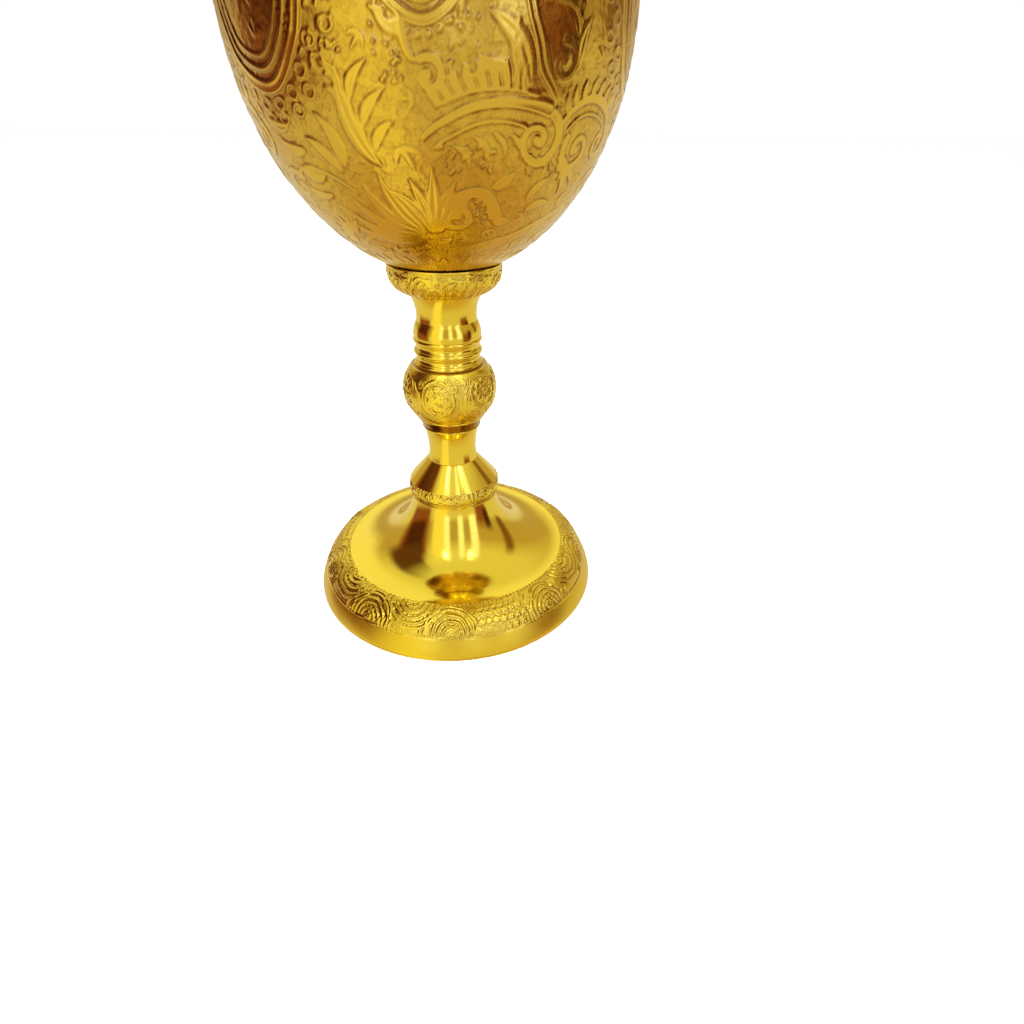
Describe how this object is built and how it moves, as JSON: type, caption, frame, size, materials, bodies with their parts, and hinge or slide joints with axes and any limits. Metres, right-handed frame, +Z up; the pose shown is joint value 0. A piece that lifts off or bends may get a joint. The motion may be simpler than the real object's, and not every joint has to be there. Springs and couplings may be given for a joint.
{
  "type": "communion chalice",
  "caption": "Gilt brass communion chalice with a deep embossed bowl, a turned stem with reeds and an ornamented knop, and a flared round foot with an engraved border.",
  "frame": {"origin": "centre of the foot's resting plane, on the chalice's axis", "axes": "+Z up along the axis from the foot to the rim; X and Y are free, because the turned shape is round"},
  "size_m": [0.08, 0.08, 0.172],
  "materials": {
    "gilt_brass": "polished gold plate over brass, with satin relief bands",
    "embossed_gilt": "semi-bright gold plate over an embossed brass sheet",
    "plain_brass": "turned brass, unplated and slightly tarnished",
    "fibre": "red vulcanised fibre, matt",
    "spring_steel": "oiled dark spring steel",
    "zinc_steel": "zinc-plated steel"
  },
  "bodies": {
    "root": {"foot": "gilt_brass", "foot_base_ring": "plain_brass", "bell_collar": "gilt_brass", "lower_spool": "gilt_brass", "knop_base_ring": "gilt_brass", "knop": "gilt_brass", "reeded_ring": "gilt_brass", "upper_spool": "gilt_brass", "calyx_collar": "gilt_brass", "cup_washer": "fibre", "bowl_socket": "plain_brass", "bowl": "embossed_gilt", "hub_washer": "plain_brass", "spring_washer": "spring_steel", "foot_nut": "zinc_steel", "tie_rod": "zinc_steel"}
  },
  "joints": []
}
